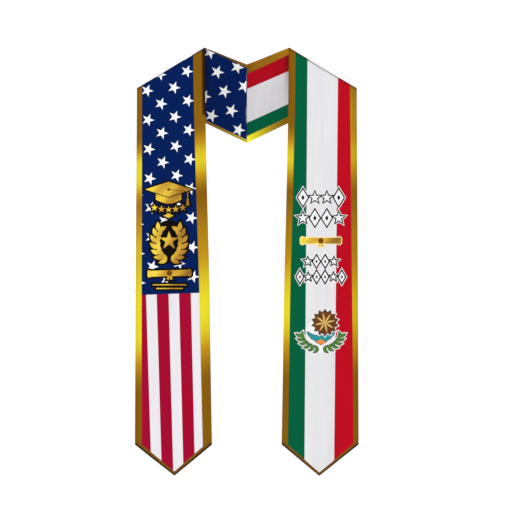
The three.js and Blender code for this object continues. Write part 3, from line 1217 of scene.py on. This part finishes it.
for i in range(-2, 3):
    rise = STAR_ROW["rise"] * (i / 2) ** 2
    cap.append(star_outline(i * STAR_ROW["pitch"], STAR_ROW["z"] + rise, STAR_ROW["radius"]))
cap.append(lozenge(0, **CAP_DROP))
cap = placed(cap, *CAP_PLACE)
print_rimmed("left_cap_print", "left", cap, left_gold, black_rim)

board_cord = [
    (0, BOARD_CORD),
    (0, -BOARD_CORD),
    (TASSEL["x"], TASSEL["top"] - BOARD_CORD),
    (TASSEL["x"] + TASSEL_HALVES["cord"], TASSEL["top"] + BOARD_CORD),
]
cap_details = placed([round_outline(0, 0, BUTTON), board_cord], *CAP_PLACE)
lay_print("left_cap_details", "left", cap_details, INK_LIFT["detail"], brown_ink)

wreath = [star_outline(**WREATH_STAR), *sprigs(WREATH)]
print_rimmed("left_wreath_print", "left", wreath, left_gold, black_rim)
shield = [round_outline(**SHIELD)]
lay_print("left_wreath_shield", "left", shield, INK_LIFT["halo"], black_ink)

rules = []
for i in (0, 1):
    reach = RULES["reach"] * (1 - RULES["less"] * i)
    rules.append(bar(RULES["x"], RULES["z"] - i * RULES["drop"], reach, RULES["half"]))
print_diploma("left", DIPLOMA, rules, left_gold, black_rim)


# The right panel's prints lie across its three stripes: two rows of white lozenges and stars with
# black rims, a small gold diploma, two more rows, and a round badge of a sunflower over a teal
# scarf in a garland of green leaves, all with a white rim.
ORNAMENT_ROWS = [
    {"z": -0.2505, "shapes": "LSSL", "pitch": 0.0222, "lozenge": (0.0092, 0.0152), "star": 0.0106},
    {"z": -0.2885, "shapes": "SLLS", "pitch": 0.0222, "lozenge": (0.0092, 0.0152), "star": 0.0106},
    {"z": -0.3692, "shapes": "SLLS", "pitch": 0.0162, "lozenge": (0.0063, 0.0104), "star": 0.0074},
    {"z": -0.3978, "shapes": "LSLLSL", "pitch": 0.0156, "lozenge": (0.006, 0.0106), "star": 0.0072},
]
ROWS_X = 0.1375
ORNAMENT_RIM = 0.0024
ORNAMENT_HALO = 0.0037
HEART_SHARE = 0.34
SMALL_DIPLOMA = {"x": 0.1376, "z": -0.3305, "reach": 0.0345, "radius": 0.0056, "turn": 0}
CREAM_RIM = 0.0014
BADGE_PLACE = (0.1376, -0.4985)
SUNFLOWER = {"x": 0.0075, "z": 0.0158, "radius": 0.0245, "points": 14, "waist": 0.78}
PETALS = {"count": 8, "leaf": (0.01952, 0.0034), "turn": 12}
GARLAND = {
    "x": 0,
    "z": -0.003,
    "reach": 0.0385,
    "rise": 0.0315,
    "arcs": ((-97, -180), (-83, 0)),
    "pairs": 6,
    "leaf": (0.0108, 0.0046),
    "turn": 40,
}
SCARF = {"z": 0.0105, "reach": 0.0285, "rise": 0.0305, "wide": 0.0115, "start": 205, "end": 335}
KNOT = {"z": -0.02, "reach": 0.0095, "rise": 0.0052}
BACKING = {"z": -0.003, "reach": 0.044, "rise": 0.037, "wide": 0.012, "start": 178, "end": 362}
BACKING_OVAL = {"x": 0, "z": -0.0015, "radius": 0.0285, "rise": 0.0244}
BAND_STEPS = 14
RUST_RIM = 0.0009
BADGE_RIM = 0.0023
INK_OVER = 0.00014
INKS = {
    "white": dye(226, 225, 227),
    "cream": dye(238, 226, 168),
    "rust": dye(58, 34, 20),
    "scarf": dye(40, 138, 140),
    "garland": dye(72, 128, 52),
    "sunflower": dye(98, 58, 30),
    "backing": dye(226, 225, 227),
    "knot": dye(218, 132, 62),
    "petals": dye(206, 170, 96),
}

inks = {name: plain_ink(f"{name}_ink", colour) for name, colour in INKS.items()}
ornaments, hearts = [], []
for row in ORNAMENT_ROWS:
    middle = (len(row["shapes"]) - 1) / 2
    for i, shape in enumerate(row["shapes"]):
        x = ROWS_X + (i - middle) * row["pitch"]
        if shape == "L":
            ornaments.append(lozenge(x, row["z"], *row["lozenge"]))
            hearts.append(lozenge(x, row["z"], *(half * HEART_SHARE for half in row["lozenge"])))
        else:
            ornaments.append(star_outline(x, row["z"], row["star"]))
ornament_rims = (black_ink, ORNAMENT_RIM), (inks["white"], ORNAMENT_HALO)
print_rimmed("right_ornament_print", "right", ornaments, inks["white"], *ornament_rims)
lay_print("right_ornament_hearts", "right", hearts, INK_LIFT["detail"], black_ink)

right_gold = gold_ink("right_gold_ink", SMALL_DIPLOMA["x"], SMALL_DIPLOMA["reach"])
print_diploma("right", SMALL_DIPLOMA, [], right_gold, (inks["cream"], CREAM_RIM))


def band(z, reach, rise, wide, start, end):
    """A band along a part of an oval, which tapers to both ends."""
    outer, inner = [], []
    for i in range(BAND_STEPS + 1):
        angle = math.radians(mix(start, end, i / BAND_STEPS))
        taper = wide * math.sin(math.pi * (i + 1) / (BAND_STEPS + 2))
        outer.append((reach * math.cos(angle), z + rise * math.sin(angle)))
        inner.append(((reach - taper) * math.cos(angle), z + (rise - taper) * math.sin(angle)))
    return outer + inner[::-1]


petals = []
for i in range(PETALS["count"]):
    arm = 360 / PETALS["count"] * i + PETALS["turn"]
    petals.append(leaf_outline(0, 0, *PETALS["leaf"], arm))
petals = placed(petals, SUNFLOWER["x"], SUNFLOWER["z"])
knot = lozenge(0, **KNOT)
backing = [band(**BACKING), round_outline(**BACKING_OVAL)]
badge_rims = (inks["rust"], RUST_RIM), (inks["white"], BADGE_RIM)
for name, outlines, over in (
    ("scarf", [band(**SCARF), knot], 0),
    ("garland", sprigs(GARLAND), 0),
    ("sunflower", [star_outline(**SUNFLOWER)], INK_OVER),
):
    shapes = placed(outlines, *BADGE_PLACE)
    print_rimmed(f"right_{name}_print", "right", shapes, inks[name], *badge_rims, over=over)
for name, outlines, lift in (
    ("backing", backing, INK_LIFT["halo"]),
    ("knot", [knot], INK_LIFT["detail"]),
    ("petals", petals, INK_LIFT["detail"] + INK_OVER),
):
    shapes = placed(outlines, *BADGE_PLACE)
    lay_print(f"right_badge_{name}", "right", shapes, lift, inks[name])


# Each panel and each neck strip is one sheet with its trims on it. The panels hang from the shoulder
# folds, and the strips are folded over the shoulders. A panel is cut with a slanted top and a V at
# its tail, and a strip is longer along the nape than at the neck: these are its edges' lengths.
STRIP_EDGES = [(crest_point(across) - seam_point(across)).length for across in (0, 1)]
